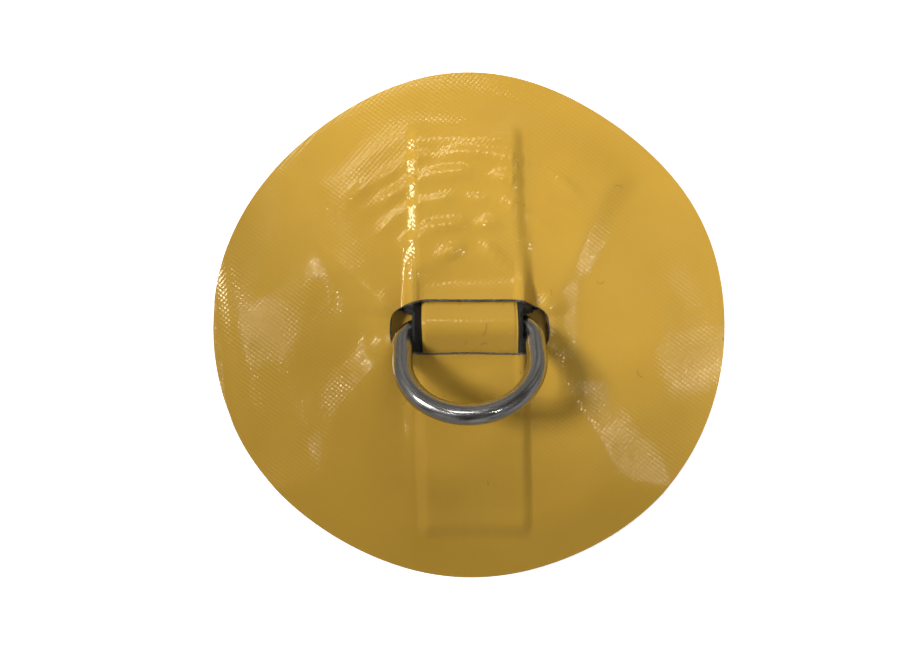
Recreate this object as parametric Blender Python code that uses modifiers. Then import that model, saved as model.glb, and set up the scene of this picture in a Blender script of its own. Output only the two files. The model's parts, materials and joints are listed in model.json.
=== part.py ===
"""A glue-on D-ring patch for an inflatable boat.

A stainless D-ring turns in a woven strap. The strap runs over the ring's bar, spreads into a fan on each side and
is sewn to a reinforcing disc in curved rows. A base disc and a cover disc close the sandwich, and the strap and
the ring come out through an opening in the cover.

The frame: +Z points up from the glue face and +X runs along the strap's width. The origin is on the glue face,
under the middle of the ring's bar.
"""

import math

import bmesh
import bpy

MM = 0.001

# Fabric thicknesses, and the gap that neighbours keep.
DISC_THICK = 0.9 * MM
STRAP_THICK = 1.2 * MM
STRIP_THICK = 1.0 * MM
THREAD_R = 0.3 * MM
GAP = 0.3 * MM

# The discs. The base and the cover share one hand-cut edge, whose radius waves a little as it goes round.
DISC_R = 101.6 * MM
DISC_CENTRE = (0.75 * MM, -0.6 * MM)
EDGE_WAVES = (
    (2, 0.9 * MM, 6),
    (3, 0.6 * MM, 124),
    (4, 0.65 * MM, -19),
    (5, 0.3 * MM, -123),
    (6, 0.4 * MM, -168),
)
EDGE_POINTS = 96
REINFORCING_R = 74.5 * MM
REINFORCING_CENTRE = (2.4 * MM, -4.2 * MM)
REINFORCING_POINTS = 72

# The ring: a straight bar, two round corners, two straight arms and a half circle, on the wire's centreline.
WIRE_R = 4.0 * MM
RING_R = 26.0 * MM
CORNER_R = 9.0 * MM
ARM_END = 17.5 * MM
RING_RISE_DEG = 41.0
RING_TURN_DEG = 2.7
CORNER_STEPS = 6
BOW_STEPS = 24

# The strap: narrow at the bar, with a fan on each side of it.
STRAP_OUTLINE = (
    (0.0, 20.4 * MM),
    (10.0 * MM, 20.4 * MM),
    (12.0 * MM, 28.5 * MM),
    (21.0 * MM, 37.5 * MM),
    (55.5 * MM, 52.4 * MM),
    (90.0 * MM, 67.3 * MM),
)
FAN_R = {"upper": 76.0 * MM, "lower": 81.0 * MM}
FAN_STEPS = 12
STRIP_HALF = 19.0 * MM

# The seams: arcs about the bar's middle.
ROW_RADII = (30.0 * MM, 41.0 * MM, 51.0 * MM, 60.5 * MM, 68.5 * MM)
ROW_HALF_DEG = 40.0
ROW_STEP = 2.0 * MM

# The opening in the cover: the right half of its outline, from its upper long edge round to its lower one.
OPENING_HALF = (
    (19.5 * MM, 9.7 * MM),
    (23.0 * MM, 8.2 * MM),
    (28.0 * MM, 6.9 * MM),
    (31.0 * MM, 4.6 * MM),
    (31.8 * MM, 0.5 * MM),
    (31.8 * MM, -6.0 * MM),
    (30.2 * MM, -8.6 * MM),
    (23.5 * MM, -10.6 * MM),
    (20.0 * MM, -11.8 * MM),
)

# Heights of the stack's surfaces, from the glue face up.
REINFORCING_Z = DISC_THICK + GAP
STRAP_Z = REINFORCING_Z + DISC_THICK + GAP
STRIP_LIFT = STRAP_THICK + GAP
STRIP_TOP_LIFT = STRIP_LIFT + STRIP_THICK
THREAD_GAP = 0.1 * MM
THREAD_ROOM = THREAD_GAP + 2 * THREAD_R + 0.2 * MM
COVER_Z = DISC_THICK + GAP
BAR_Z = REINFORCING_Z + DISC_THICK + GAP + WIRE_R
BAR_HALF = RING_R - CORNER_R
ARCH_GAP = 0.6 * MM
ARCH_SIDE = 8.0 * MM

# How the cover comes down off a layer under it: how far it stays up past the layer's edge, then how far it falls.
LAYER_MARGIN = 4.0 * MM
LAYER_FALL = 8.0 * MM
STRIP_MARGIN = 1.0 * MM
STRIP_SIDE_FALL = 4.0 * MM
STRIP_END_FALL = 5.0 * MM
THREAD_FALL = 2.5 * MM
ARCH_SIDE_FALL = 0.2

# The cutters reach from under the patch to over the arch.
CUT_BOTTOM = -5.0 * MM
CUT_TOP = 30.0 * MM

# Lines of the draped sheets, in mm from the middle outward. They are close together where a sheet bends.
STRAP_ACROSS = (0.0, 10, 17, 19, 20.5, 23, 25.5, 28, 31, 58)
STRIP_ACROSS = (0.0, 10, 17, 19)
STRAP_ALONG = (0.0, 1.5, 3, 4.5, 6, 8, 10, 12, 15, 19, 24, 31, 41)
STRAP_END = 82.0
COVER_ACROSS = (0.0, 7, 14, 19, 21, 22.5, 24, 26, 29, 33, 39, 46, 54, 62, 70, 76, 82, 90, 98, 107)
COVER_ALONG = (0.0, 8, 11, 13, 16, 20, 25, 32, 40, 49, 57, 65, 72, 77, 82, 87, 94, 107)

YELLOW = (0.62, 0.37, 0.045, 1.0)
BLACK = (0.012, 0.012, 0.013, 1.0)
STEEL = (0.62, 0.61, 0.59, 1.0)
THREAD = (0.55, 0.40, 0.12, 1.0)


def clear_scene():
    for obj in list(bpy.data.objects):
        bpy.data.objects.remove(obj, do_unlink=True)


def material(name, colour, roughness, metallic):
    made = bpy.data.materials.new(name)
    made.use_nodes = True
    shader = made.node_tree.nodes["Principled BSDF"]
    shader.inputs["Base Color"].default_value = colour
    shader.inputs["Roughness"].default_value = roughness
    shader.inputs["Metallic"].default_value = metallic
    made.diffuse_color = colour
    return made


def collection(name):
    made = bpy.data.collections.new(name)
    bpy.context.scene.collection.children.link(made)
    return made


def add(name, data, where, finish=None):
    obj = bpy.data.objects.new(name, data)
    where.objects.link(obj)
    if finish:
        data.materials.append(finish)
    return obj


def fade(distance, width):
    """1 up to distance 0, then a smooth fall to 0 at the given width."""
    t = min(max(1.0 - distance / width, 0.0), 1.0)
    return t * t * (3.0 - 2.0 * t)


def both_sides(lines):
    """The given millimetres from 0 outward, mirrored to both sides of 0, in metres."""
    outward = [line * MM for line in lines]
    return [-line for line in reversed(outward) if line > 0] + outward


def strap_half_width(y):
    """Half of the strap's width at y, read off its outline."""
    along = abs(y)
    for (y0, w0), (y1, w1) in zip(STRAP_OUTLINE, STRAP_OUTLINE[1:]):
        if along <= y1:
            return w0 + (w1 - w0) * (along - y0) / (y1 - y0)
    return STRAP_OUTLINE[-1][1]


def side_of(y):
    return "upper" if y >= 0 else "lower"


def arch(x, y):
    """How far the strap's underside climbs above its flat level, to pass over the bar.

    Its top has the same radius as the room that the wire needs there, which grows beside the ring's corners.
    Past the strap's waist the climb fades away.
    """
    waist = STRAP_OUTLINE[0][1]
    across = min(abs(x), waist)
    into_corner = max(across - BAR_HALF, 0.0)
    inner_r = CORNER_R - WIRE_R
    room = WIRE_R + ARCH_GAP + inner_r - math.sqrt(inner_r**2 - into_corner**2)
    top = BAR_Z + room - STRAP_Z
    spread = math.sqrt(3.0 * top * room)
    return top / (1.0 + (y / spread) ** 2) ** 1.5 * fade(abs(x) - waist, ARCH_SIDE)


def above_strap(x, y, distance):
    """Height of the surface that lies the given distance above the strap's underside."""
    step = 0.1 * MM
    slope = (arch(x, y + step) - arch(x, y - step)) / (2 * step)
    return STRAP_Z + arch(x, y) + distance * math.sqrt(1.0 + slope**2)


def strap_underside(x, y):
    return above_strap(x, y, 0.0)


def strip_underside(x, y):
    return above_strap(x, y, STRIP_LIFT)


def thread_height(x, y):
    """Height of a seam's thread, which steps down from the strip to the strap at the strip's edge."""
    on_strap = above_strap(x, y, STRAP_THICK)
    on_strip = above_strap(x, y, STRIP_TOP_LIFT)
    on_it = fade(abs(x) - STRIP_HALF - ROW_STEP, THREAD_FALL)
    return on_strap + (on_strip - on_strap) * on_it + THREAD_GAP + THREAD_R


def cover_underside(x, y):
    """Height of the cover's underside: flat on the base, and raised by each layer that lies between them."""
    from_centre = math.hypot(x - REINFORCING_CENTRE[0], y - REINFORCING_CENTRE[1])
    on_reinforcing = above_strap(x, y, 0.0) - COVER_Z
    on_fan = above_strap(x, y, STRAP_THICK + THREAD_ROOM) - COVER_Z
    over_strip = above_strap(x, y, STRIP_TOP_LIFT + THREAD_ROOM) - COVER_Z
    past_fan = max(abs(x) - strap_half_width(y), math.hypot(x, y) - FAN_R[side_of(y)])
    side_fall = STRIP_SIDE_FALL + ARCH_SIDE_FALL * arch(0.0, y)
    from_arch = 1.0 - arch(0.0, y) / arch(0.0, 0.0)
    past_strip = abs(x) - STRIP_HALF - STRIP_MARGIN - ROW_STEP * from_arch
    past_end = abs(y) - FAN_R[side_of(y)] - STRIP_MARGIN
    return COVER_Z + max(
        on_reinforcing * fade(from_centre - REINFORCING_R - LAYER_MARGIN, LAYER_FALL),
        on_fan * fade(past_fan - LAYER_MARGIN, LAYER_FALL),
        over_strip * fade(past_strip, side_fall) * fade(past_end, STRIP_END_FALL),
    )


def draped(name, x_lines, y_lines, height, where, finish=None):
    """A sheet with a vertex at every crossing of the lines, lifted to the height there."""
    columns, rows = len(x_lines) - 1, len(y_lines) - 1
    sheet = bmesh.new()
    bmesh.ops.create_grid(sheet, x_segments=columns, y_segments=rows, size=0.5)
    for vertex in sheet.verts:
        x = x_lines[round((vertex.co.x + 0.5) * columns)]
        y = y_lines[round((vertex.co.y + 0.5) * rows)]
        vertex.co = x, y, height(x, y)
    mesh = bpy.data.meshes.new(name)
    sheet.to_mesh(mesh)
    sheet.free()
    mesh.shade_smooth()
    return add(name, mesh, where, finish)


def thicken(obj, thickness):
    solid = obj.modifiers.new("Thickness", "SOLIDIFY")
    solid.thickness = thickness
    solid.offset = 1.0
    solid.use_even_offset = True


def cut(obj, cutter, operation):
    boolean = obj.modifiers.new(operation.title(), "BOOLEAN")
    boolean.operation = operation
    boolean.object = cutter
    boolean.solver = "EXACT"


def plate(name, outline, bottom, top, where, finish=None):
    """A flat plate: a filled outline, extruded between two heights, as a welded mesh."""
    curve = bpy.data.curves.new(name, "CURVE")
    curve.dimensions = "2D"
    curve.fill_mode = "BOTH"
    curve.extrude = (top - bottom) / 2
    spline = curve.splines.new("POLY")
    spline.points.add(len(outline) - 1)
    for point, (x, y) in zip(spline.points, outline):
        point.co = x, y, 0.0, 1.0
    spline.use_cyclic_u = True
    drawn = add(name + "_outline", curve, where)
    evaluated = drawn.evaluated_get(bpy.context.evaluated_depsgraph_get())
    mesh = bpy.data.meshes.new_from_object(evaluated)
    mesh.name = name
    bpy.data.objects.remove(drawn, do_unlink=True)
    welded = bmesh.new()
    welded.from_mesh(mesh)
    bmesh.ops.remove_doubles(welded, verts=welded.verts, dist=0.01 * MM)
    bmesh.ops.recalc_face_normals(welded, faces=welded.faces)
    welded.to_mesh(mesh)
    welded.free()
    made = add(name, mesh, where, finish)
    made.location.z = (top + bottom) / 2
    return made


def hide_cutter(cutter):
    cutter.hide_render = True
    cutter.display_type = "WIRE"


def circle(centre, radius, count, waves=()):
    """Points round a circle whose radius is waved by (waves a turn, height, phase in degrees)."""
    points = []
    for i in range(count):
        turn = 2 * math.pi * i / count
        waved = radius + sum(h * math.cos(n * turn + math.radians(p)) for n, h, p in waves)
        points.append((centre[0] + waved * math.cos(turn), centre[1] + waved * math.sin(turn)))
    return points


def disc_outline():
    return circle(DISC_CENTRE, DISC_R, EDGE_POINTS, EDGE_WAVES)


def strap_outline():
    """The bow-tie: the waist and the fans' sides from the outline, and an arc at each fan's end."""
    points = []
    for sign, side in ((1, "upper"), (-1, "lower")):
        sides = [(w, y) for y, w in STRAP_OUTLINE[1:] if math.hypot(w, y) < FAN_R[side]]
        corner = math.atan2(*fan_corner(side))
        arc = [corner * (1 - 2 * i / FAN_STEPS) for i in range(FAN_STEPS + 1)]
        half = [(w, sign * y) for w, y in sides]
        half += [(FAN_R[side] * math.sin(a), sign * FAN_R[side] * math.cos(a)) for a in arc]
        half += [(-w, sign * y) for w, y in reversed(sides)]
        points += half if sign > 0 else half[::-1]
    return points


def fan_corner(side):
    """Where the fan's straight side meets its end arc, found by halving the last stretch."""
    low, high = STRAP_OUTLINE[3][0], STRAP_OUTLINE[5][0]
    for _ in range(40):
        middle = (low + high) / 2
        if math.hypot(strap_half_width(middle), middle) < FAN_R[side]:
            low = middle
        else:
            high = middle
    return strap_half_width(low), low


def opening_outline():
    """The opening's right half and its mirror image, beside the discs' centre line."""
    middle = DISC_CENTRE[0]
    right = [(middle + x, y) for x, y in OPENING_HALF]
    left = [(middle - x, y) for x, y in reversed(OPENING_HALF)]
    return right + left


def ring_path():
    """The ring's centreline in its own plane, with the bar on the X axis and the arms going to -Y."""
    points = [(-BAR_HALF, 0.0), (0.0, 0.0)]
    for i in range(CORNER_STEPS + 1):
        turn = math.pi / 2 * i / CORNER_STEPS
        points.append((BAR_HALF + CORNER_R * math.sin(turn), CORNER_R * (math.cos(turn) - 1.0)))
    for i in range(BOW_STEPS + 1):
        turn = math.pi * i / BOW_STEPS
        points.append((RING_R * math.cos(turn), -ARM_END - RING_R * math.sin(turn)))
    for i in range(CORNER_STEPS):
        turn = math.pi / 2 * (1.0 - i / CORNER_STEPS)
        points.append((-BAR_HALF - CORNER_R * math.sin(turn), CORNER_R * (math.cos(turn) - 1.0)))
    return points


def wire(name, points, radius, resolution, closed, where, finish):
    curve = bpy.data.curves.new(name, "CURVE")
    curve.dimensions = "3D"
    curve.bevel_depth = radius
    curve.bevel_resolution = resolution
    curve.use_fill_caps = not closed
    spline = curve.splines.new("POLY")
    spline.points.add(len(points) - 1)
    for point, place in zip(spline.points, points):
        point.co = *place, 1.0
    spline.use_cyclic_u = closed
    spline.use_smooth = True
    return add(name, curve, where, finish)


def make_base_disc(where, yellow):
    plate("base_disc", disc_outline(), 0.0, DISC_THICK, where, yellow)


def make_reinforcing_disc(where, yellow):
    outline = circle(REINFORCING_CENTRE, REINFORCING_R, REINFORCING_POINTS)
    plate("reinforcing_disc", outline, REINFORCING_Z, REINFORCING_Z + DISC_THICK, where, yellow)


def make_butterfly_strap(where, cutters, black):
    x_lines = both_sides(STRAP_ACROSS)
    y_lines = both_sides(STRAP_ALONG + (STRAP_END,))
    strap = draped("butterfly_strap", x_lines, y_lines, strap_underside, where, black)
    thicken(strap, STRAP_THICK)
    shape = plate("strap_shape", strap_outline(), CUT_BOTTOM, CUT_TOP, cutters)
    hide_cutter(shape)
    cut(strap, shape, "INTERSECT")


def make_strap_cover(where, yellow):
    lines = [-FAN_R["lower"]] + both_sides(STRAP_ALONG) + [FAN_R["upper"]]
    strip = draped("strap_cover", both_sides(STRIP_ACROSS), lines, strip_underside, where, yellow)
    thicken(strip, STRIP_THICK)


def make_stitch_row(name, radius, sign, where, thread):
    """One seam: a thread along an arc about the bar's middle."""
    points = []
    half_turn = math.radians(ROW_HALF_DEG)
    steps = math.ceil(2 * half_turn * radius / ROW_STEP)
    for i in range(steps + 1):
        turn = half_turn * (2 * i / steps - 1)
        x, y = radius * math.sin(turn), sign * radius * math.cos(turn)
        points.append((x, y, thread_height(x, y)))
    wire(name, points, THREAD_R, 1, False, where, thread)


def make_cover_disc(where, cutters, yellow):
    x_lines, y_lines = both_sides(COVER_ACROSS), both_sides(COVER_ALONG)
    cover = draped("cover_disc", x_lines, y_lines, cover_underside, where, yellow)
    thicken(cover, DISC_THICK)
    edge = plate("cover_edge", disc_outline(), CUT_BOTTOM, CUT_TOP, cutters)
    slot = plate("cover_slot", opening_outline(), CUT_BOTTOM, CUT_TOP, cutters)
    hide_cutter(edge)
    hide_cutter(slot)
    cut(cover, edge, "INTERSECT")
    cut(cover, slot, "DIFFERENCE")


def make_d_ring(where, steel):
    """The ring hangs on an empty on its bar's axis, which stands a little askew in the strap."""
    axis = add("ring_axis", None, where)
    axis.location.z = BAR_Z
    axis.rotation_euler.z = math.radians(RING_TURN_DEG)
    path = [(x, y, 0.0) for x, y in ring_path()]
    ring = wire("d_ring", path, WIRE_R, 4, True, where, steel)
    ring.parent = axis
    ring.rotation_euler.x = -math.radians(RING_RISE_DEG)


def main():
    clear_scene()
    parts = collection("d_ring_patch")
    cutters = collection("cutters")
    yellow = material("yellow_coated_fabric", YELLOW, 0.35, 0.0)
    black = material("black_webbing", BLACK, 0.8, 0.0)
    steel = material("polished_steel", STEEL, 0.15, 1.0)
    thread = material("seam_thread", THREAD, 0.7, 0.0)
    make_base_disc(parts, yellow)
    make_reinforcing_disc(parts, yellow)
    make_butterfly_strap(parts, cutters, black)
    make_strap_cover(parts, yellow)
    for sign, side in ((1, "upper"), (-1, "lower")):
        for number, radius in enumerate(ROW_RADII, 1):
            make_stitch_row(f"{side}_stitch_row_{number}", radius, sign, parts, thread)
    make_cover_disc(parts, cutters, yellow)
    make_d_ring(parts, steel)


main()
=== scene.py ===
"""The looks of a glue-on D-ring patch for an inflatable boat.

A polished D-ring turns in a black woven strap. A yellow strip lies on the strap, and discs of yellow
coated fabric hold both: a base, a smaller reinforcing disc, and a cover with an opening for the ring.
Lengths are in millimetres until a mesh is made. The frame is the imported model's: +Z is up from the
glue face, and +X runs along the ring's bar.
"""

import json
import math

import bmesh
import bpy
import numpy as np
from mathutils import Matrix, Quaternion, Vector


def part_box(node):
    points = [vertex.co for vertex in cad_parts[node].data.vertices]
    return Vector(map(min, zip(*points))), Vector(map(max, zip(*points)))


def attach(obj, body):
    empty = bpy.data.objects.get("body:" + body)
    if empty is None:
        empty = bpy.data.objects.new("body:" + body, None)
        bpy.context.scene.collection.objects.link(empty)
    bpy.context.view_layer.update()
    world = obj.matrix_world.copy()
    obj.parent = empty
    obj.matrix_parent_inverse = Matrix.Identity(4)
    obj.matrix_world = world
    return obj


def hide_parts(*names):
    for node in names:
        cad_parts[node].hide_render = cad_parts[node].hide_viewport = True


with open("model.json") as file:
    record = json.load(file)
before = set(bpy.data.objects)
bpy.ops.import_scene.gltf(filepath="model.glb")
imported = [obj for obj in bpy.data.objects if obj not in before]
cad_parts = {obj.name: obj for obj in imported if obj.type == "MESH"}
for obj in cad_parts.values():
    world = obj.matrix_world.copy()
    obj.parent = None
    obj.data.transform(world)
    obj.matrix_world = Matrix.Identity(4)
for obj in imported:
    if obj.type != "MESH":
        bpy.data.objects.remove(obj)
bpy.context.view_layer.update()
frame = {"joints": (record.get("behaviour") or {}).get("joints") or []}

MM = 0.001


def node_box(name):
    """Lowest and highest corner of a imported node, in mm."""
    low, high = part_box(name)
    return np.array(low) / MM, np.array(high) / MM


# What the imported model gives.
BAR_Z = frame["joints"][0]["pos_m"][2] / MM
STRIP_LOW, STRIP_HIGH = node_box("strap_cover")
DISC_LOW, DISC_HIGH = node_box("reinforcing_disc")
STRAP_LOW, STRAP_HIGH = node_box("butterfly_strap")
BASE_LOW, BASE_HIGH = node_box("base_disc")
STRIP_HALF = (STRIP_HIGH[0] - STRIP_LOW[0]) / 2
FAN_R = {"upper": STRIP_HIGH[1], "lower": -STRIP_LOW[1]}
REINFORCING_R = (DISC_HIGH[0] - DISC_LOW[0]) / 2
REINFORCING_CENTRE = (DISC_HIGH[:2] + DISC_LOW[:2]) / 2
REINFORCING_Z = DISC_LOW[2]
STRAP_Z = STRAP_LOW[2]
DISC_THICK = BASE_HIGH[2] - BASE_LOW[2]

# The ring's wire, and the low swelling of the weld on its bar.
WIRE_R = 4.0
RING_R = 26.0
CORNER_R = 9.0
ARM_END = 17.5
BAR_HALF = RING_R - CORNER_R
RING_RISE = math.radians(41.0)
RING_TURN = math.radians(2.7)
WELD_X = 3.0
WELD_RISE = 0.12

# Fabric thicknesses, and the room that layers keep.
STRAP_THICK = 1.2
STRIP_THICK = 1.0
THREAD_R = 0.3
ARCH_GAP = 0.6
CORNER_GAP = 0.3
LAYER_GAP = 0.15
RIM_GAP = 0.08

# The discs' hand-cut edge: (waves a turn, height, phase in degrees).
DISC_R = 101.6
DISC_CENTRE = (0.75, -0.6)
EDGE_WAVES = ((2, 0.9, 6), (3, 0.6, 124), (4, 0.65, -19), (5, 0.3, -123), (6, 0.4, -168))

# The strap's outline: half widths at distances from the bar, and where its waist opens out on each side.
WAIST = 21.7
FLARE = {
    "upper": ((4.4, WAIST), (5.3, 25.0), (7.0, 29.5), (21.0, 37.5), (90.0, 67.3)),
    "lower": ((5.5, WAIST), (8.0, 25.0), (12.0, 28.5), (21.0, 37.5), (90.0, 67.3)),
}
STRAP_SHIFT = -0.1

# How far past the strap's waist its arch dies away, and the strip's place over it.
ARCH_SIDE = 4.0
STRIP_SHIFT = 0.9
STRIP_SKEW = 0.029

# The webbing's herringbone: the width of a band of it, and the distance between its ribs.
BAND_WIDTH = 3.4
RIB_PITCH = 0.95
RIB_HEIGHT = 0.10

# The fabric's weave: the distance between its threads, and the two ways that they run.
WEAVE_PITCH = 1.5
WEAVE_HEADINGS = (math.radians(54.0), math.radians(-41.0))

# The cover's opening: its right half, from its upper long edge round to its lower one.
OPENING_HALF = (
    (0.0, 9.55), (10.0, 9.6), (19.5, 9.7), (23.0, 8.2), (28.0, 6.9), (31.0, 4.6), (31.8, 0.5),
    (31.8, -6.0), (30.2, -8.6), (23.5, -10.6), (20.0, -11.8), (10.0, -11.5), (0.0, -11.3),
)
OPENING_REACH = (31.8, 10.8)
OPENING_Y = -1.0

# The cover stands up round the opening's ends: how high, how far, and the half length of each lip.
LIP_LIFT = 2.0
LIP_REACH = 8.0
LIP_HALF = 5.0

# The seams: arcs about the bar's middle, and the ridges that they press up into the cover.
ROW_RADII = (30.0, 41.0, 51.0, 60.5, 68.5)
ROW_HALF = math.radians(40.0)
STITCH_PITCH = 3.4
RIDGE_WIDTH = 2.5
RIDGE_HEIGHT = {"upper": 0.75, "upper_right": 0.45, "lower": 0.10}
RIGHT_OF_STRIP = 18.0

# Folds of the cover: (start, end, height, reach of the left side, reach of the right side).
FOLD_ROUNDING = 1.6
FOLDS = (
    ((-35.5, 11.0), (-84.0, 55.0), 2.5, 7.0, 16.0),
    ((38.0, -24.0), (68.0, -68.0), 1.3, 5.0, 15.0),
)

# The discs curl up at their left and right: where that starts, its slope, and how it rolls over again.
CURL_START = {"left": 44.0, "right": 50.0}
CURL_SLOPE = 0.04
CURL_EASE = 14.0
ROLL_START = 46.0
ROLL_RATE = 0.018

# Gentle swells of the cover: (x, y, height, radius).
SWELLS = (
    (-86.0, 1.0, 0.8, 15.0),
    (87.0, -16.0, 0.8, 15.0),
    (66.0, 34.0, 0.9, 20.0),
    (62.0, -54.0, 0.9, 18.0),
)

# The cover's fall from the edge of each layer under it: where it starts, and how wide its slope is.
DISC_START, DISC_SLOPE = -5.0, 32.0
FAN_START, FAN_SLOPE = 0.6, 34.0
FAN_STEEPER = {"upper": 9.0, "upper_right": 5.0}
STRIP_START, STRIP_SLOPE = 0.8, 5.2
STRIP_END_START, STRIP_END_SLOPE = -2.5, 13.0
ARCH_WIDER, LOWER_NARROWER, FLANK_UNEVEN = 4.8, 1.4, 1.1
TENT, TENT_UNEVEN = 0.85, 0.3

# The stiff cover bridges steps of about this length, and stays smooth in an oval round the opening.
BRIDGING = 1.7
SMOOTH_OVAL = (36.0, 16.0)


# ---------------------------------------------------------------- shapes


def fade(distance, width):
    """1 up to distance 0, then a smooth fall to 0 at the given width."""
    t = np.clip(1.0 - distance / width, 0.0, 1.0)
    return t * t * (3.0 - 2.0 * t)


def soft_max(a, b, softness):
    """The greater of two heights, with the crease between them rounded."""
    share = np.clip(0.5 + 0.5 * (a - b) / softness, 0.0, 1.0)
    return b + (a - b) * share + softness * share * (1.0 - share)


def ripple(x, y, size, seed):
    """Smooth irregular waves of about the given length, mostly between -1 and 1."""
    draw = np.random.default_rng(seed)
    total = np.zeros(np.shape(x))
    for _ in range(7):
        turn, phase = draw.uniform(0.0, 2 * math.pi, 2)
        rate = 2 * math.pi / size * draw.uniform(0.65, 1.5)
        total += np.sin(rate * (x * math.cos(turn) + y * math.sin(turn)) + phase)
    return total / 3.0


def side_value(values, y):
    return np.where(y >= 0, values["upper"], values["lower"])


def skewed(x, y):
    """X measured from the strip's centre line, which lies a little askew."""
    return x - STRIP_SHIFT + STRIP_SKEW * y


def strap_half_width(y):
    """Half of the strap's width at y, read off its outline."""
    upper = np.interp(y, *zip(*FLARE["upper"]))
    lower = np.interp(-y, *zip(*FLARE["lower"]))
    return np.where(y >= 0, upper, lower)


def arch(x, y):
    """How far the strap's underside climbs above its flat level, to pass over the bar."""
    across = np.minimum(np.abs(x), WAIST)
    into_corner = np.maximum(across - BAR_HALF, 0.0)
    inner_r = CORNER_R - WIRE_R
    corner = inner_r - np.sqrt(inner_r**2 - into_corner**2)
    room = WIRE_R + np.maximum(ARCH_GAP, CORNER_GAP + corner)
    top = BAR_Z + room - STRAP_Z
    spread = np.sqrt(3.0 * top * room)
    return top / (1.0 + (y / spread) ** 2) ** 1.5 * fade(np.abs(x) - WAIST, ARCH_SIDE)


def above_strap(x, y, distance):
    """Height of the surface that lies the given distance above the strap's underside."""
    step = 0.1
    slope = (arch(x, y + step) - arch(x, y - step)) / (2 * step)
    return STRAP_Z + arch(x, y) + warp(x, y) + distance * np.sqrt(1.0 + slope**2)


def rim_radius(turn):
    return DISC_R + sum(h * np.cos(n * turn + math.radians(p)) for n, h, p in EDGE_WAVES)


def ramp(distance):
    """0 up to distance 0, then a rounded start of a straight rise of slope 1."""
    past = np.maximum(distance, 0.0)
    return np.where(past < CURL_EASE, past**2 / (2 * CURL_EASE), past - CURL_EASE / 2)


def warp(x, y):
    """How far the layers curl up from the ground towards the patch's left and right."""
    right = CURL_SLOPE * ramp(x - CURL_START["right"] - 0.25 * y)
    from_left = -x - CURL_START["left"] - 0.15 * y
    left = CURL_SLOPE * ramp(from_left) - ROLL_RATE * np.maximum(from_left - ROLL_START, 0.0) ** 2
    return right + np.maximum(left, 0.0)


def seams(x, y):
    """Ridges that the seams' threads press up into the cover, uneven from stitch to stitch."""
    radius, turn = np.hypot(x, y), np.arctan2(np.abs(x), np.abs(y))
    height = np.zeros(np.shape(x))
    for number, row in enumerate(ROW_RADII):
        wander = 0.8 * ripple(x, y, 34.0, 40 + number)
        from_row = radius - row - wander
        stitch = 0.95 + 0.05 * np.sin(2 * math.pi * row * np.arctan2(x, np.abs(y)) / STITCH_PITCH)
        uneven = np.maximum(0.7 + 0.5 * ripple(x, y, 17.0, 60 + number), 0.0)
        height += np.exp(-((from_row / RIDGE_WIDTH) ** 2)) * stitch * uneven
    ends = fade(turn - ROW_HALF + 0.12, 0.3)
    upper = np.where(x > RIGHT_OF_STRIP, RIDGE_HEIGHT["upper_right"], RIDGE_HEIGHT["upper"])
    return height * ends * np.where(y < 0, RIDGE_HEIGHT["lower"], upper)


def folds(x, y):
    """Tension folds that run out from the opening's corners."""
    height = np.zeros(np.shape(x))
    for (x0, y0), (x1, y1), top, left, right in FOLDS:
        length = math.hypot(x1 - x0, y1 - y0)
        ux, uy = (x1 - x0) / length, (y1 - y0) / length
        along = ((x - x0) * ux + (y - y0) * uy) / length
        across = (y - y0) * ux - (x - x0) * uy
        width = np.where(across > 0, left, right)
        crest = np.exp((FOLD_ROUNDING - np.sqrt(across**2 + FOLD_ROUNDING**2)) / width)
        height += top * crest * fade(along, 1.1) * fade(-along, 0.25)
    return height


def swells(x, y):
    return sum(h * np.exp(-((x - x0) ** 2 + (y - y0) ** 2) / (2 * r**2)) for x0, y0, h, r in SWELLS)


def ear_lips(x, y):
    """The cover stands up round the opening's two ends."""
    along = np.abs(x - DISC_CENTRE[0]) - OPENING_REACH[0]
    beside = np.maximum(np.abs(y - OPENING_Y) - LIP_HALF, 0.0)
    return LIP_LIFT * np.exp(-((np.hypot(along, beside) / LIP_REACH) ** 2))


def cover_lift(x, y):
    """How far the layers under the cover would raise it, if it followed them closely."""
    fan_r = side_value(FAN_R, y)
    from_centre = np.hypot(x - REINFORCING_CENTRE[0], y - REINFORCING_CENTRE[1])
    flat = BASE_HIGH[2] + RIM_GAP
    past_fan = np.maximum(np.abs(x - STRAP_SHIFT) - strap_half_width(y), np.hypot(x, y) - fan_r)
    over_arch = arch(0.0, y) / arch(0.0, 0.0)
    past_strip = np.abs(skewed(x, y)) - STRIP_HALF - STRIP_START
    past_end = np.abs(y) - fan_r - STRIP_END_START
    disc = (STRAP_Z + 0.05 - flat) * fade(from_centre - REINFORCING_R - DISC_START, DISC_SLOPE)
    fan_top = above_strap(x, y, STRAP_THICK + LAYER_GAP) - warp(x, y) + 0.25 - flat
    upper = 0.5 + 0.5 * np.tanh(y / 9.0)
    steeper = upper * (FAN_STEEPER["upper"] + FAN_STEEPER["upper_right"] * np.tanh(x / 12.0))
    fan = fan_top * fade(past_fan - FAN_START, FAN_SLOPE - steeper)
    tent = (TENT + TENT_UNEVEN * ripple(0.0 * x, y, 21.0, 29)) * (1.0 - over_arch)
    strip = above_strap(x, y, STRAP_THICK + STRIP_THICK + 2 * LAYER_GAP) - warp(x, y) + tent - flat
    on_lower = np.where(y < 0, 1.0 - over_arch, 0.0)
    slope = STRIP_SLOPE + ARCH_WIDER * over_arch**0.6 - LOWER_NARROWER * on_lower
    slope = slope + FLANK_UNEVEN * ripple(x, y, 26.0, 17)
    flank = fade(past_strip, slope) * fade(past_end, STRIP_END_SLOPE)
    return soft_max(soft_max(disc, fan, 0.9), strip * flank, 0.6)


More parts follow.
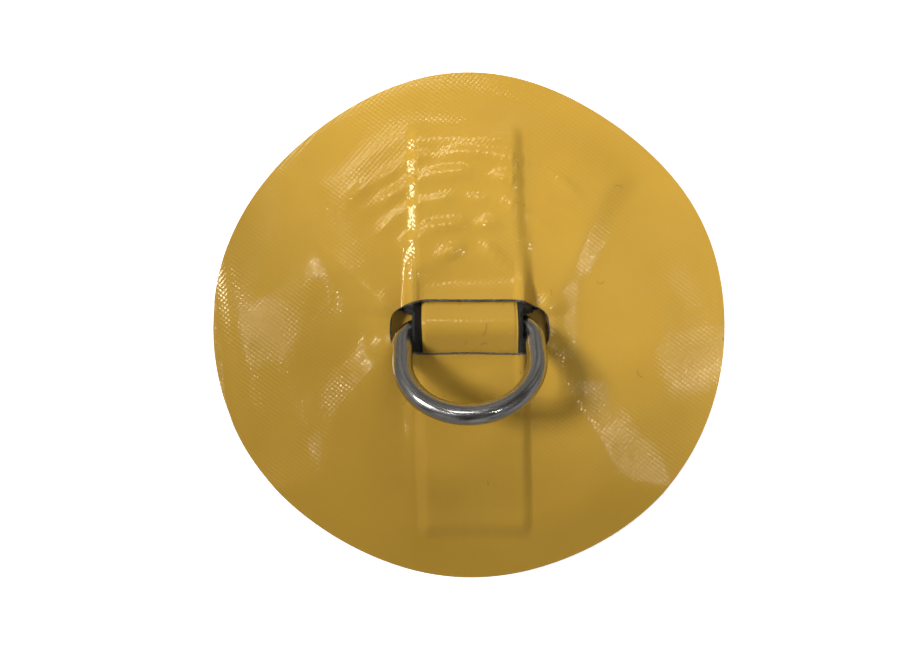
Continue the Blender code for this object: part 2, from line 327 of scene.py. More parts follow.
def cover_underside(x, y):
    """Height of the cover's underside. The stiff fabric rounds off each step under it."""
    flat = BASE_HIGH[2] + RIM_GAP
    layers = 2.0 * cover_lift(x, y)
    for turn in np.arange(8) * math.pi / 4:
        layers += cover_lift(x + BRIDGING * math.cos(turn), y + BRIDGING * math.sin(turn))
    layers /= 10.0
    from_centre = np.hypot(x - REINFORCING_CENTRE[0], y - REINFORCING_CENTRE[1])
    near = fade(from_centre - REINFORCING_R, 22.0)
    waves = 0.40 * ripple(x, y, 70.0, 3) + 0.10 * ripple(x, y, 27.0, 5) + 0.012 * ripple(x, y, 7.0, 8)
    inner = fade(np.hypot(x / SMOOTH_OVAL[0], y / SMOOTH_OVAL[1]) - 1.0, 0.5)
    lumps = np.maximum((waves + 0.45) * near * (1.0 - 0.8 * inner), 0.0)
    pressed = seams(x, y) * (1.0 - inner)
    return flat + layers + warp(x, y) + pressed + folds(x, y) + swells(x, y) + ear_lips(x, y) + lumps


def base_underside(x, y):
    return BASE_LOW[2] + warp(x, y)


def reinforcing_underside(x, y):
    return REINFORCING_Z + warp(x, y)


# ---------------------------------------------------------------- meshes


def normals_of(points, closed):
    """Unit normals of a grid of points. closed says that its last column meets its first."""
    if closed:
        around = np.roll(points, -1, axis=0) - np.roll(points, 1, axis=0)
    else:
        around = np.gradient(points, axis=0)
    normal = np.cross(np.gradient(points, axis=1), around)
    length = np.linalg.norm(normal, axis=2, keepdims=True)
    normal /= np.maximum(length, 1e-9)
    return normal * np.sign(np.sum(normal[..., 2]))


def grid_faces(count, rows, closed):
    """Corner numbers of the quads of a grid whose points are numbered row by row within each column."""
    columns = count if closed else count - 1
    i, j = np.meshgrid(np.arange(columns), np.arange(rows - 1), indexing="ij")
    k = (i + 1) % count
    corners = np.stack([i * rows + j, i * rows + j + 1, k * rows + j + 1, k * rows + j], axis=-1)
    return corners.reshape(-1, 4)


def add_mesh(name, points, faces, materials, walls=(), smooth_angle=50.0):
    """A mesh object from points in mm. walls are the faces that take the second material."""
    mesh = bpy.data.meshes.new(name)
    mesh.from_pydata((np.asarray(points) * MM).tolist(), [], [list(face) for face in faces])
    for finish in materials:
        mesh.materials.append(finish)
    if len(walls):
        index = np.zeros(len(mesh.polygons), np.int32)
        index[np.asarray(walls)] = 1
        mesh.polygons.foreach_set("material_index", index)
    shaped = bmesh.new()
    shaped.from_mesh(mesh)
    bmesh.ops.remove_doubles(shaped, verts=shaped.verts, dist=0.002 * MM)
    bmesh.ops.recalc_face_normals(shaped, faces=shaped.faces)
    shaped.to_mesh(mesh)
    shaped.free()
    mesh.shade_smooth()
    mesh.set_sharp_from_angle(angle=math.radians(smooth_angle))
    made = bpy.data.objects.new(name, mesh)
    bpy.context.scene.collection.objects.link(made)
    return made


def sheet_mesh(name, under, thickness, closed, materials):
    """A sheet on a grid of points of its underside. Its cut edges take the second material.

    thickness is one number, or one for each point.
    """
    count, rows = under.shape[:2]
    thickness = np.broadcast_to(thickness, (count, rows))
    top = under + normals_of(under, closed) * thickness[..., None]
    points = np.concatenate([under.reshape(-1, 3), top.reshape(-1, 3)])
    faces = grid_faces(count, rows, closed)
    lift = count * rows
    columns = np.arange(count if closed else count - 1)
    after = (columns + 1) % count
    walls = []
    for row in (0, rows - 1):
        a, b = columns * rows + row, after * rows + row
        walls.append(np.stack([a, b, b + lift, a + lift], axis=-1))
    if not closed:
        steps = np.arange(rows - 1)
        for column in (0, count - 1):
            a = column * rows + steps
            walls.append(np.stack([a, a + 1, a + 1 + lift, a + lift], axis=-1))
    walls = np.concatenate(walls)
    every = np.concatenate([faces[:, ::-1], faces + lift, walls])
    first_wall = 2 * len(faces)
    return add_mesh(name, points, every, materials, np.arange(first_wall, len(every)))


def between(inner, outer, rows, power=1.0):
    """Points on straight lines from an inner outline to an outer one, as a grid of (x, y)."""
    share = np.linspace(0.0, 1.0, rows) ** power
    return inner[:, None, :] + (outer - inner)[:, None, :] * share[None, :, None]


def lifted(flat, height):
    return np.dstack([flat[..., 0], flat[..., 1], height(flat[..., 0], flat[..., 1])])


def tube(path, radius, sides, closed):
    """Points and faces of a round tube along a path. radius is one number or one for each point."""
    path = np.asarray(path, float)
    radius = np.broadcast_to(radius, len(path))
    if closed:
        ahead = np.roll(path, -1, axis=0) - np.roll(path, 1, axis=0)
    else:
        ahead = np.gradient(path, axis=0)
    ahead /= np.linalg.norm(ahead, axis=1, keepdims=True)
    start = np.cross(ahead[0], (0.0, 0.0, 1.0))
    if np.linalg.norm(start) < 0.1:
        start = np.cross(ahead[0], (1.0, 0.0, 0.0))
    side = start / np.linalg.norm(start)
    turns = 2 * math.pi * np.arange(sides) / sides
    points = []
    for place, direction, size in zip(path, ahead, radius):
        side = side - direction * (side @ direction)
        side /= np.linalg.norm(side)
        other = np.cross(direction, side)
        points.append(place + size * (np.cos(turns)[:, None] * side + np.sin(turns)[:, None] * other))
    corners = grid_faces(len(path), sides, closed)
    seam = []
    for i in range(len(path) if closed else len(path) - 1):
        k = (i + 1) % len(path)
        seam.append([i * sides + sides - 1, i * sides, k * sides, k * sides + sides - 1])
    faces = [list(face) for face in corners] + seam
    if not closed:
        last = (len(path) - 1) * sides
        faces += [list(range(sides))[::-1], [last + s for s in range(sides)]]
    return np.concatenate(points), faces


def tubes(name, paths, radii, sides, materials):
    """Many open tubes as one object."""
    points, faces, used = [], [], 0
    for path, radius in zip(paths, radii):
        places, corners = tube(path, radius, sides, False)
        faces += [[c + used for c in face] for face in corners]
        points.append(places)
        used += len(places)
    return add_mesh(name, np.concatenate(points), faces, materials, smooth_angle=80.0)


# ---------------------------------------------------------------- materials


class Nodes:
    """Short calls for building a material's nodes."""

    def __init__(self, name):
        self.material = bpy.data.materials.new(name)
        self.material.use_nodes = True
        self.tree = self.material.node_tree
        self.shader = self.tree.nodes["Principled BSDF"]
        place = self.add("ShaderNodeTexCoord")
        scaled = self.add("ShaderNodeVectorMath")
        scaled.operation = "SCALE"
        scaled.inputs["Scale"].default_value = 1.0 / MM
        self.link(place.outputs["Object"], scaled.inputs[0])
        self.place = scaled.outputs[0]
        split = self.add("ShaderNodeSeparateXYZ")
        self.link(self.place, split.inputs[0])
        self.x, self.y, self.z = split.outputs

    def add(self, kind):
        return self.tree.nodes.new(kind)

    def link(self, a, b):
        self.tree.links.new(a, b)

    def put(self, value, socket):
        if isinstance(value, bpy.types.NodeSocket):
            self.link(value, socket)
        else:
            socket.default_value = value

    def math(self, operation, a, b=0.0, c=0.0):
        node = self.add("ShaderNodeMath")
        node.operation = operation
        for value, socket in zip((a, b, c), node.inputs):
            self.put(value, socket)
        return node.outputs[0]

    def noise(self, size, detail=3.0, where=None):
        node = self.add("ShaderNodeTexNoise")
        self.link(where or self.place, node.inputs["Vector"])
        node.inputs["Scale"].default_value = 1.0 / size
        node.inputs["Detail"].default_value = detail
        return node.outputs["Fac"]

    def between(self, value, low, high, new_low=0.0, new_high=1.0):
        node = self.add("ShaderNodeMapRange")
        for number, socket in zip((value, low, high, new_low, new_high), node.inputs):
            self.put(number, socket)
        return node.outputs[0]

    def mix(self, share, a, b):
        node = self.add("ShaderNodeMix")
        node.data_type = "RGBA"
        self.put(share, node.inputs[0])
        self.put(a, node.inputs[6])
        self.put(b, node.inputs[7])
        return node.outputs[2]

    def bump(self, height, distance, onto=None):
        node = self.add("ShaderNodeBump")
        node.inputs["Distance"].default_value = distance * MM
        self.link(height, node.inputs["Height"])
        if onto is not None:
            self.link(onto, node.inputs["Normal"])
        return node.outputs[0]

    def finish(self, **values):
        for name, value in values.items():
            self.put(value, self.shader.inputs[name.replace("_", " ")])
        return self.material


def coated_fabric(name, colour, deep):
    """Glossy coated fabric: the scrim's weave shows through a coat with specks and faint stains."""
    n = Nodes(name)
    weave = 0.0
    for heading in WEAVE_HEADINGS:
        turn = 2 * math.pi / WEAVE_PITCH
        along_x = n.math("MULTIPLY", n.x, turn * math.cos(heading))
        along_y = n.math("MULTIPLY", n.y, turn * math.sin(heading))
        weave = n.math("ADD", weave, n.math("SINE", n.math("ADD", along_x, along_y)))
    strength = n.between(n.noise(26.0), 0.38, 0.62, 0.45, 1.0)
    height = n.math("MULTIPLY", weave, strength)
    normal = n.bump(height, 0.014)
    normal = n.bump(n.noise(3.0, 4.0), 0.04, normal)
    stain = n.between(n.noise(38.0, 5.0), 0.3, 0.7)
    tone = n.mix(stain, deep, colour)
    cells = n.add("ShaderNodeTexVoronoi")
    cells.inputs["Scale"].default_value = 1.0 / 11.0
    n.link(n.place, cells.inputs["Vector"])
    size = n.between(n.noise(30.0, 1.0), 0.45, 0.65, 0.0, 0.035)
    speck = n.math("LESS_THAN", cells.outputs["Distance"], size)
    tone = n.mix(n.math("MULTIPLY", speck, 0.7), tone, (0.05, 0.03, 0.01, 1.0))
    roughness = n.between(n.noise(9.0, 4.0), 0.3, 0.7, 0.11, 0.15)
    n.shader.inputs["Specular Tint"].default_value = (1.0, 0.92, 0.68, 1.0)
    return n.finish(Base_Color=tone, Roughness=roughness, Normal=normal)


def webbing(name):
    """Black woven webbing: a herringbone of bundled threads, with grey glints painted into its colour
    along them.
    """
    n = Nodes(name)
    band = n.math("PINGPONG", n.x, BAND_WIDTH)
    slope = n.math("ADD", n.y, band)
    ridge = n.math("SINE", n.math("MULTIPLY", slope, 2 * math.pi / RIB_PITCH))
    strand = n.math("SINE", n.math("MULTIPLY", n.math("SUBTRACT", n.y, n.x), 2 * math.pi / 0.31))
    fuzz = n.noise(0.35, 4.0)
    height = n.math("ADD", n.math("MULTIPLY", ridge, 0.5), n.math("MULTIPLY", strand, 0.16))
    normal = n.bump(n.math("ADD", height, fuzz), 0.11)
    # Painted highlight: the colour turns lighter grey on the ribs' crests, standing in for glints of
    # light on the threads.
    glint = n.between(n.math("ADD", n.math("MULTIPLY", ridge, 0.25), fuzz), 0.58, 0.80)
    tone = n.mix(glint, (0.004, 0.004, 0.0035, 1.0), (0.13, 0.13, 0.12, 1.0))
    n.shader.inputs["Specular IOR Level"].default_value = 0.18
    return n.finish(Base_Color=tone, Roughness=0.6, Normal=normal)


def steel(name):
    """Polished stainless wire, with fine draw lines that run along the bow and its arms."""
    n = Nodes(name)
    rise, run = math.sin(RING_RISE), math.cos(RING_RISE)
    height = n.math("SUBTRACT", n.z, BAR_Z)
    reach = n.math("SUBTRACT", n.math("MULTIPLY", height, rise), n.math("MULTIPLY", n.y, run))
    off_plane = n.math("ADD", n.math("MULTIPLY", height, run), n.math("MULTIPLY", n.y, rise))
    past_arms = n.math("MAXIMUM", n.math("SUBTRACT", reach, ARM_END), 0.01)
    square = n.math("ADD", n.math("POWER", n.x, 2.0), n.math("POWER", past_arms, 2.0))
    from_middle = n.math("SQRT", square)
    along = n.math("MULTIPLY", n.math("ARCTAN2", n.x, past_arms), RING_R)
    along = n.math("ADD", along, n.math("MINIMUM", n.math("SUBTRACT", reach, ARM_END), 0.0))
    wire = n.add("ShaderNodeCombineXYZ")
    n.link(from_middle, wire.inputs[0])
    n.link(off_plane, wire.inputs[1])
    n.link(n.math("MULTIPLY", along, 0.03), wire.inputs[2])
    lines = n.noise(0.55, 4.0, wire.outputs[0])
    broad = n.noise(2.4, 2.0, wire.outputs[0])
    roughness = n.between(lines, 0.35, 0.65, 0.18, 0.30)
    normal = n.bump(n.math("ADD", n.math("MULTIPLY", lines, 0.4), n.math("MULTIPLY", broad, 1.6)), 0.05)
    tone = n.mix(n.between(broad, 0.35, 0.65), (0.44, 0.43, 0.41, 1.0), (0.60, 0.59, 0.57, 1.0))
    return n.finish(Base_Color=tone, Metallic=1.0, Roughness=roughness, Normal=normal)


def fibre(name, dark, light, size):
    """Loose or cut threads, from dark to light along and between them."""
    n = Nodes(name)
    tone = n.mix(n.between(n.noise(size, 2.0), 0.42, 0.6), dark, light)
    return n.finish(Base_Color=tone, Roughness=0.7)


def floor_finish():
    n = Nodes("pale_floor")
    n.finish(Base_Color=(0.9, 0.9, 0.9, 1.0), Roughness=0.9)
    n.shader.inputs["Emission Color"].default_value = (1.0, 1.0, 1.0, 1.0)
    n.shader.inputs["Emission Strength"].default_value = 0.85
    return n.material


YELLOW = coated_fabric("yellow_coated_fabric", (0.60, 0.354, 0.050, 1.0), (0.56, 0.325, 0.044, 1.0))
CUT_EDGE = fibre("cut_fabric_edge", (0.10, 0.085, 0.05, 1.0), (0.42, 0.34, 0.17, 1.0), 0.8)
BLACK = webbing("black_webbing")
STEEL = steel("polished_steel")
THREAD = fibre("seam_thread", (0.42, 0.30, 0.08, 1.0), (0.6, 0.44, 0.14, 1.0), 0.6)
SCRIM = fibre("frayed_scrim", (0.010, 0.010, 0.009, 1.0), (0.20, 0.19, 0.16, 1.0), 0.5)
LINT = fibre("dark_lint", (0.02, 0.016, 0.01, 1.0), (0.09, 0.06, 0.03, 1.0), 1.5)


# ---------------------------------------------------------------- pieces


def rim_points(turn):
    """The points of the discs' hand-cut rim at the given turns."""
    radius = rim_radius(turn)
    x = DISC_CENTRE[0] + radius * np.cos(turn)
    y = DISC_CENTRE[1] + radius * np.sin(turn)
    return np.stack([x, y], axis=-1)


def opening_outline(count):
    """The opening's rounded outline, evenly spaced, and for each point the rim's point that it faces."""
    middle = DISC_CENTRE[0]
    right = [(middle + x, y) for x, y in OPENING_HALF]
    left = [(middle - x, y) for x, y in reversed(OPENING_HALF[1:-1])]
    points = np.array(right + left)
    for _ in range(3):
        ahead = np.roll(points, -1, axis=0)
        cut = [points * 0.75 + ahead * 0.25, points * 0.25 + ahead * 0.75]
        points = np.stack(cut, axis=1).reshape(-1, 2)
    loop = np.vstack([points, points[:1]])
    length = np.concatenate([[0.0], np.cumsum(np.linalg.norm(np.diff(loop, axis=0), axis=1))])
    at = np.linspace(0.0, length[-1], count, endpoint=False)
    even = np.stack([np.interp(at, length, loop[:, k]) for k in (0, 1)], axis=-1)
    across = (even[:, 1] - OPENING_Y) / OPENING_REACH[1]
    turn = np.arctan2(across, (even[:, 0] - middle) / OPENING_REACH[0])
    return even, rim_points(turn)


def make_cover():
    inner, outer = opening_outline(720)
    under = lifted(between(inner, outer, 125, 1.08), cover_underside)
    cover = sheet_mesh("cover_fabric", under, DISC_THICK, True, [YELLOW, CUT_EDGE])
    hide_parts("cover_disc")
    return cover, inner


def make_disc(name, node, centre, rim, height):
    inner = np.broadcast_to(np.array(centre), rim.shape)
    under = lifted(between(inner, rim, 60), height)
    disc = sheet_mesh(name, under, DISC_THICK, True, [YELLOW, CUT_EDGE])
    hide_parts(node)
    return disc


def make_reinforcing():
    turn = 2 * math.pi * np.arange(240) / 240
    rim = REINFORCING_CENTRE + REINFORCING_R * np.stack([np.cos(turn), np.sin(turn)], axis=-1)
    name = "reinforcing_fabric"
    return make_disc(name, "reinforcing_disc", REINFORCING_CENTRE, rim, reinforcing_underside)


def strap_lines(lower, upper):
    """Places along the strap: 0.3 mm apart where it shows, and wider under the cover."""
    seen = np.arange(-16.0, 14.01, 0.3)
    return np.concatenate([np.linspace(lower, -16.5, 50), seen, np.linspace(14.5, upper, 50)])


def make_strap():
    """The webbing: its herringbone stands out where it shows."""
    along = strap_lines(-FAN_R["lower"], FAN_R["upper"])
    across = np.linspace(-1.0, 1.0, 150)
    share, y = np.meshgrid(across, along, indexing="ij")
    half = strap_half_width(y)
    end = np.sqrt(np.maximum(side_value(FAN_R, y) ** 2 - y**2, 0.0))
    x = STRAP_SHIFT + share * np.minimum(half, np.maximum(end, 1.0))
    band = np.abs((x % (2 * BAND_WIDTH)) - BAND_WIDTH)
    herringbone = RIB_HEIGHT * np.sin(2 * math.pi * (y + band) / RIB_PITCH)
    z = above_strap(x, y, 0.0) + herringbone * fade(np.abs(y) - 13.0, 2.0)
    under = np.dstack([x, y, z])
    strap = sheet_mesh("webbing_strap", under, STRAP_THICK, False, [BLACK, BLACK])
    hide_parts("butterfly_strap")
    return strap


def make_strip():
    """The yellow strip over the strap. Its long edges are rolled down a little."""
    along = strap_lines(-FAN_R["lower"] + 0.5, FAN_R["upper"] - 0.5)
    roll = np.sin(np.linspace(-0.5, 0.5, 61) * math.pi)
    y, across = np.meshgrid(along, STRIP_HALF * roll)
    to_edge = STRIP_HALF - np.abs(across)
    thickness = STRIP_THICK - 0.5 * fade(to_edge, 1.4)
    x = across + STRIP_SHIFT - STRIP_SKEW * y
    z = above_strap(x, y, STRAP_THICK + LAYER_GAP) - 0.12 * fade(to_edge, 2.6)
    under = np.dstack([x, y, z])
    strip = sheet_mesh("yellow_strip", under, thickness, False, [YELLOW, CUT_EDGE])
    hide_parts("strap_cover")
    return strip


def thread_height(x, y):
    """Height of a seam's thread, which steps down from the strip to the strap at the strip's edge."""
    on_strap = above_strap(x, y, STRAP_THICK + LAYER_GAP)
    on_strip = above_strap(x, y, STRAP_THICK + STRIP_THICK + 2 * LAYER_GAP)
    on_it = fade(np.abs(skewed(x, y)) - STRIP_HALF - 0.5, 2.0)
    return on_strap + (on_strip - on_strap) * on_it + 0.5 * THREAD_R


def make_stitch_row(side, number, radius):
    """One seam: separate stitches that dip into the fabric at both ends."""
    sign = 1.0 if side == "upper" else -1.0
    count = round(2 * ROW_HALF * radius / STITCH_PITCH)
    paths, radii = [], []
    for i in range(count):
        middle = ROW_HALF * (2 * (i + 0.5) / count - 1)
        share = np.linspace(-1.0, 1.0, 7)
        turn = middle + share * 0.44 * STITCH_PITCH / radius
        x, y = radius * np.sin(turn), sign * radius * np.cos(turn)
        z = thread_height(x, y) - 0.5 * np.abs(share) ** 3
        paths.append(np.stack([x, y, z], axis=-1))
        radii.append(THREAD_R * (1.0 - 0.35 * np.abs(share) ** 3))
    row = tubes(f"{side}_stitches_{number}", paths, radii, 8, [THREAD])
    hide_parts(f"{side}_stitch_row_{number}")
    return row


def ring_path():
    """The ring's centreline in its own plane, in small even steps."""
    quarter = np.linspace(0.0, math.pi / 2, 24)
    half = np.linspace(0.0, math.pi, 110)
    bar = np.linspace(-BAR_HALF, BAR_HALF, 40, endpoint=False)[1:]
    corner_x = BAR_HALF + CORNER_R * np.sin(quarter)
    corner = np.stack([corner_x, CORNER_R * (np.cos(quarter) - 1.0)], axis=-1)
    arm = np.linspace(CORNER_R, ARM_END, 10)[1:-1]
    bow = np.stack([RING_R * np.cos(half), -ARM_END - RING_R * np.sin(half)], axis=-1)
    right_arm = np.stack([np.full(len(arm), RING_R), -arm], axis=-1)
    left_arm = right_arm[::-1] * (-1.0, 1.0)
    left_corner = corner[::-1] * (-1.0, 1.0)
    straight = np.stack([bar, np.zeros(len(bar))], axis=-1)
    return np.vstack([straight, corner, right_arm, bow, left_arm, left_corner])


def make_ring():
    flat = ring_path()
    x, reach = flat[:, 0], -flat[:, 1]
    y, z = -reach * math.cos(RING_RISE), reach * math.sin(RING_RISE)
    c, s = math.cos(RING_TURN), math.sin(RING_TURN)
    path = np.stack([x * c - y * s, x * s + y * c, z + BAR_Z], axis=-1)
    weld = WELD_RISE * np.exp(-((flat[:, 0] - WELD_X) ** 2) / 2.0) * (reach < 0.5)
    points, faces = tube(path, WIRE_R + weld, 48, True)
    ring = add_mesh("polished_ring", points, faces, [STEEL])
    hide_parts("d_ring")
    return ring


def hair(draw, start, heading, length, bend, climb, steps=6):
    """A short curved fibre's path in mm: it turns by bend along its way, and climbs."""
    turns = heading + bend * np.linspace(0.0, 1.0, steps)
    step = length / (steps - 1)
    x = start[0] + np.concatenate([[0.0], np.cumsum(np.cos(turns[:-1]) * step)])
    y = start[1] + np.concatenate([[0.0], np.cumsum(np.sin(turns[:-1]) * step)])
    z = start[2] + climb * np.linspace(0.0, 1.0, steps) + draw.normal(0.0, 0.02, steps)
    return np.stack([x, y, z], axis=-1)


def cover_middle(x, y):
    return cover_underside(x, y) + 0.5 * DISC_THICK


def make_opening_fray(inner):
    """The cut scrim along the opening: a twisted yarn in the cut edge, yarn ends, and loose fibres."""
    draw = np.random.default_rng(11)
    count = len(inner)
    centre = np.array([DISC_CENTRE[0], OPENING_Y])
    inward = centre - inner
    inward[:, 0] *= 0.35
    inward /= np.linalg.norm(inward, axis=1, keepdims=True)
    z = cover_middle(inner[:, 0], inner[:, 1])
    turn = np.arange(count) * 2 * math.pi / 11.0
    wander = 0.10 * np.cumsum(draw.normal(0.0, 0.3, count))
    wander -= np.linspace(wander[0], wander[-1], count)
    paths, radii = [], []
    for phase in (0.0, math.pi):
        out = 0.14 + 0.17 * np.cos(turn + phase)
        lift = 0.20 * np.sin(turn + phase) + 0.02 * wander
        ply = np.column_stack([inner + inward * out[:, None], z + lift])
        paths.append(np.vstack([ply, ply[:1]]))
        radii.append(np.full(count + 1, 0.27))
    for i in range(0, count, 4):
        at = (i + int(draw.integers(0, 4))) % count
        heading = math.atan2(inward[at, 1], inward[at, 0]) + draw.normal(0.0, 0.6)
        start = (*inner[at], z[at] + draw.uniform(-0.25, 0.3))
        length = draw.uniform(0.35, 0.9) if draw.random() < 0.85 else draw.uniform(1.2, 2.6)
        paths.append(hair(draw, start, heading, length, draw.normal(0.0, 0.8), draw.uniform(-0.3, 0.4)))
        radii.append(np.linspace(0.09, 0.03, 6))
    return tubes("opening_scrim_edge", paths, radii, 5, [SCRIM])


def make_rim_fray():
    """Short threads that stand out of the discs' rim, more of them on its lower side."""
    draw = np.random.default_rng(23)
    paths, radii = [], []
    for _ in range(90):
        turn = draw.uniform(0.0, 2 * math.pi)
        if draw.random() < 0.6:
            turn = draw.uniform(math.pi * 1.1, math.pi * 1.9)
        radius = rim_radius(np.array(turn))
        x = DISC_CENTRE[0] + radius * math.cos(turn)
        y = DISC_CENTRE[1] + radius * math.sin(turn)
        z = float(cover_middle(np.array(x), np.array(y))) - draw.uniform(0.0, 1.2)
        length = min(0.25 + draw.exponential(0.45), 2.4)
        heading = turn + draw.normal(0.0, 0.7)
        bend = draw.normal(0.0, 0.9)
        paths.append(hair(draw, (x, y, z), heading, length, bend, draw.uniform(-0.1, 0.5)))
        radii.append(np.linspace(0.06, 0.025, 6))
    return tubes("rim_fibres", paths, radii, 4, [SCRIM])


def make_lint():
    """A few dark hairs that lie on the cover and on the strip."""
    draw = np.random.default_rng(5)
    on_cover = (
        (19.5, 65.0), (23.0, 47.5), (54.5, 17.5), (51.0, -33.0), (-17.0, 41.0), (-24.5, -30.0),
        (62.0, 55.0), (70.0, -21.0), (-60.0, 20.0), (33.0, 14.0), (-22.0, 60.0), (8.0, -64.0),
    )
    on_strip = (
        ((6.0, -4.5), 1.1, 5.2, 0.5),
        ((5.2, -8.4), 1.3, 3.4, -2.6),
        ((-1.5, -8.0), 0.8, 2.2, 0.8),
    )
    paths, radii = [], []
    for place in on_cover:
        heading = draw.uniform(0.0, 6.3)
        length = draw.uniform(1.6, 4.2)
        points = hair(draw, (*place, 0.0), heading, length, draw.normal(0.0, 1.6), 0.0, 9)
        points[:, 2] = cover_underside(points[:, 0], points[:, 1]) + DISC_THICK + 0.06
        paths.append(points)
        radii.append(np.full(9, 0.055))
    for place, heading, length, bend in on_strip:
        points = hair(draw, (*place, 0.0), heading, length, bend, 0.0, 9)
        top = above_strap(points[:, 0], points[:, 1], STRAP_THICK + LAYER_GAP + STRIP_THICK)
        points[:, 2] = top + 0.08
        paths.append(points)
        radii.append(np.full(9, 0.05))
    return tubes("lint_hairs", paths, radii, 5, [LINT])


def make_pieces():
    rim = rim_points(2 * math.pi * np.arange(480) / 480)
    base = make_disc("base_fabric", "base_disc", DISC_CENTRE, rim, base_underside)
    reinforcing = make_reinforcing()
    strap = make_strap()
    strip = make_strip()
    cover, inner = make_cover()
    scrim = make_opening_fray(inner)
    rim_fibres = make_rim_fray()
    lint = make_lint()
    rows = []
    for side in ("upper", "lower"):
        for number, radius in enumerate(ROW_RADII, 1):
            rows.append(make_stitch_row(side, number, radius))
    for piece in (base, reinforcing, strap, strip, cover, scrim, rim_fibres, lint, *rows):
        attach(piece, "patch")
    ring = make_ring()
    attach(ring, "ring")


# ---------------------------------------------------------------- studio

# In metres: the middle of the patch, the window's middle, and where its beam points.
MIDDLE = (0.0, 0.0, 0.0)
WINDOW = (-1.19, 0.14, 1.19)
WINDOW_AIM = (0.26, 0.236, 0.0)


def hang_light(lamp, place, aim, turn):
    made = bpy.data.objects.new(lamp.name, lamp)
    made.location = place
    facing = (Vector(aim) - Vector(place)).to_track_quat("-Z", "Y")
    made.rotation_euler = (facing @ Quaternion((0.0, 0.0, 1.0), turn)).to_euler()
    bpy.context.scene.collection.objects.link(made)
    return made


def soft_box(name, place, aim, size, power, turn=0.0):
    lamp = bpy.data.lights.new(name, "AREA")
    lamp.shape = "ELLIPSE"
    lamp.size, lamp.size_y = size
    lamp.energy = power
    return hang_light(lamp, place, aim, turn)


def window_light(name, place, aim, cone, blend, radius, power):
    """A broad soft beam, as from a window, that lights one side of the patch more than the other."""
    lamp = bpy.data.lights.new(name, "SPOT")
    lamp.spot_size = cone
    lamp.spot_blend = blend
    lamp.shadow_soft_size = radius
    lamp.energy = power
    return hang_light(lamp, place, aim, 0.0)


def make_floor():
    """A plain pale floor that the patch and the steel don't mirror."""
    half = 3.0
    corners = [(-half, -half, 0), (half, -half, 0), (half, half, 0), (-half, half, 0)]
    mesh = bpy.data.meshes.new("floor")
    mesh.from_pydata(corners, [], [(0, 1, 2, 3)])
    mesh.materials.append(floor_finish())
    floor = bpy.data.objects.new("floor", mesh)
    floor.location.z = -0.0004
    floor.visible_glossy = False
    floor.visible_diffuse = False
    bpy.context.scene.collection.objects.link(floor)


def map_range(tree, value, low, high, new_low=0.0, new_high=1.0):
    node = tree.nodes.new("ShaderNodeMapRange")
    tree.links.new(value, node.inputs["Value"])
    node.inputs["From Min"].default_value = low
    node.inputs["From Max"].default_value = high
    node.inputs["To Min"].default_value = new_low
    node.inputs["To Max"].default_value = new_high
    return node.outputs[0]


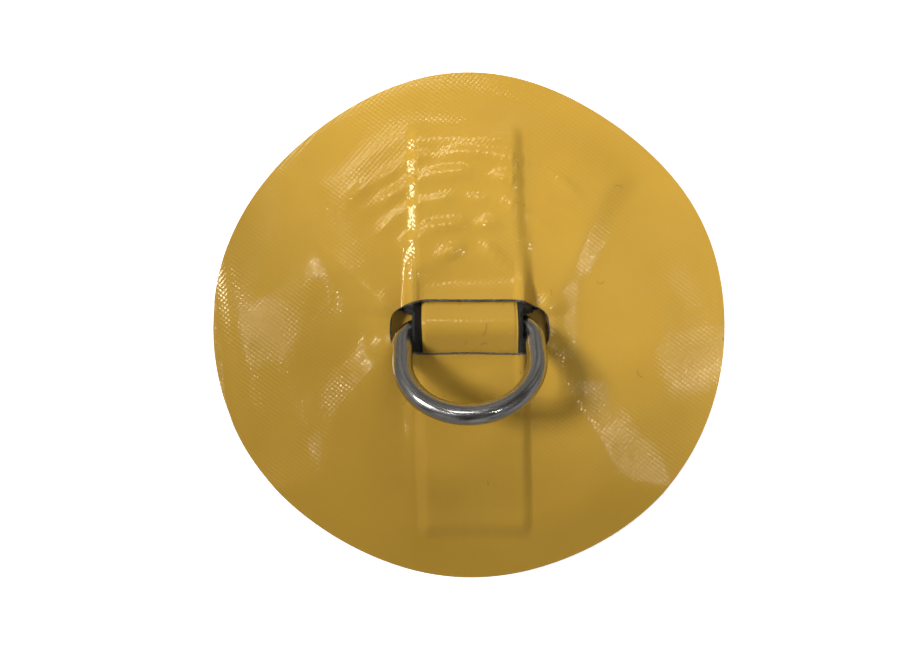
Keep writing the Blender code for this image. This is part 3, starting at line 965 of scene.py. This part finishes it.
def make_world():
    """A soft room, dimmer overhead, with patches above its horizon for the steel to mirror."""
    world = bpy.data.worlds.new("soft_room")
    world.use_nodes = True
    tree = world.node_tree
    background = tree.nodes["Background"]
    background.inputs["Color"].default_value = (1.0, 0.98, 0.95, 1.0)
    toward = tree.nodes.new("ShaderNodeTexCoord").outputs["Generated"]
    split = tree.nodes.new("ShaderNodeSeparateXYZ")
    tree.links.new(toward, split.inputs[0])
    height = map_range(tree, split.outputs["Z"], 0.35, 0.95, 0.20, 0.05)
    blotches = tree.nodes.new("ShaderNodeTexNoise")
    blotches.inputs["Scale"].default_value = 3.2
    blotches.inputs["Detail"].default_value = 2.0
    tree.links.new(toward, blotches.inputs["Vector"])
    contrast = map_range(tree, blotches.outputs["Fac"], 0.42, 0.58, 0.25, 1.9)
    rise = map_range(tree, split.outputs["Z"], 0.08, 0.22)
    patchy = tree.nodes.new("ShaderNodeMix")
    patchy.inputs["A"].default_value = 1.0
    tree.links.new(rise, patchy.inputs["Factor"])
    tree.links.new(contrast, patchy.inputs["B"])
    strength = tree.nodes.new("ShaderNodeMath")
    strength.operation = "MULTIPLY"
    tree.links.new(height, strength.inputs[0])
    tree.links.new(patchy.outputs["Result"], strength.inputs[1])
    tree.links.new(strength.outputs[0], background.inputs["Strength"])
    bpy.context.scene.world = world


def make_lights():
    """A window's beam and the room's soft light, which only shade, and lights that only glint."""
    shading = []
    for side in (-1.0, 1.0):
        for level in (-1.0, 1.0):
            rise, shift = 0.09 * level, 0.13 * side
            pane = (WINDOW[0] + rise, WINDOW[1] + shift, WINDOW[2] + rise)
            shading.append(window_light("window_pane", pane, WINDOW_AIM, 0.346, 0.22, 0.055, 20.0))
    shading.append(soft_box("window_room", WINDOW, MIDDLE, (0.40, 0.40), 12.5))
    shading.append(soft_box("sky", (0.25, 0.9, 0.65), MIDDLE, (0.7, 0.4), 3.2))
    shading.append(soft_box("fill", (0.45, 0.0, 1.2), MIDDLE, (0.8, 0.8), 2.2))
    for light in shading:
        light.visible_glossy = False
    left, right, turn = (-0.085, 0.0, 0.0), (0.087, 0.0, 0.0), math.radians(66)
    glints = (
        soft_box("window_glint", (-0.66, 0.14, 0.60), MIDDLE, (0.16, 0.26), 2.6),
        soft_box("fold_glint", (-0.30, 0.08, 1.0), MIDDLE, (0.04, 0.04), 0.04),
        soft_box("top_glint", (-0.17, 0.45, 1.0), MIDDLE, (0.45, 0.085), 0.85),
        soft_box("left_glint", (-0.375, 0.003, 1.0), left, (0.025, 0.065), 0.34),
        soft_box("right_glint", (0.47, -0.057, 1.0), right, (0.11, 0.03), 0.45, turn),
    )
    for glint in glints:
        glint.visible_diffuse = False


def make_camera():
    camera = bpy.data.cameras.new("camera")
    camera.lens = 33.8
    camera.sensor_width = 36.0
    holder = bpy.data.objects.new("camera", camera)
    holder.location = (-0.0023, -0.0001, 0.352)
    bpy.context.scene.collection.objects.link(holder)
    bpy.context.scene.camera = holder


make_pieces()
make_floor()
make_world()
make_lights()
make_camera()
bpy.context.scene.view_settings.view_transform = "Standard"
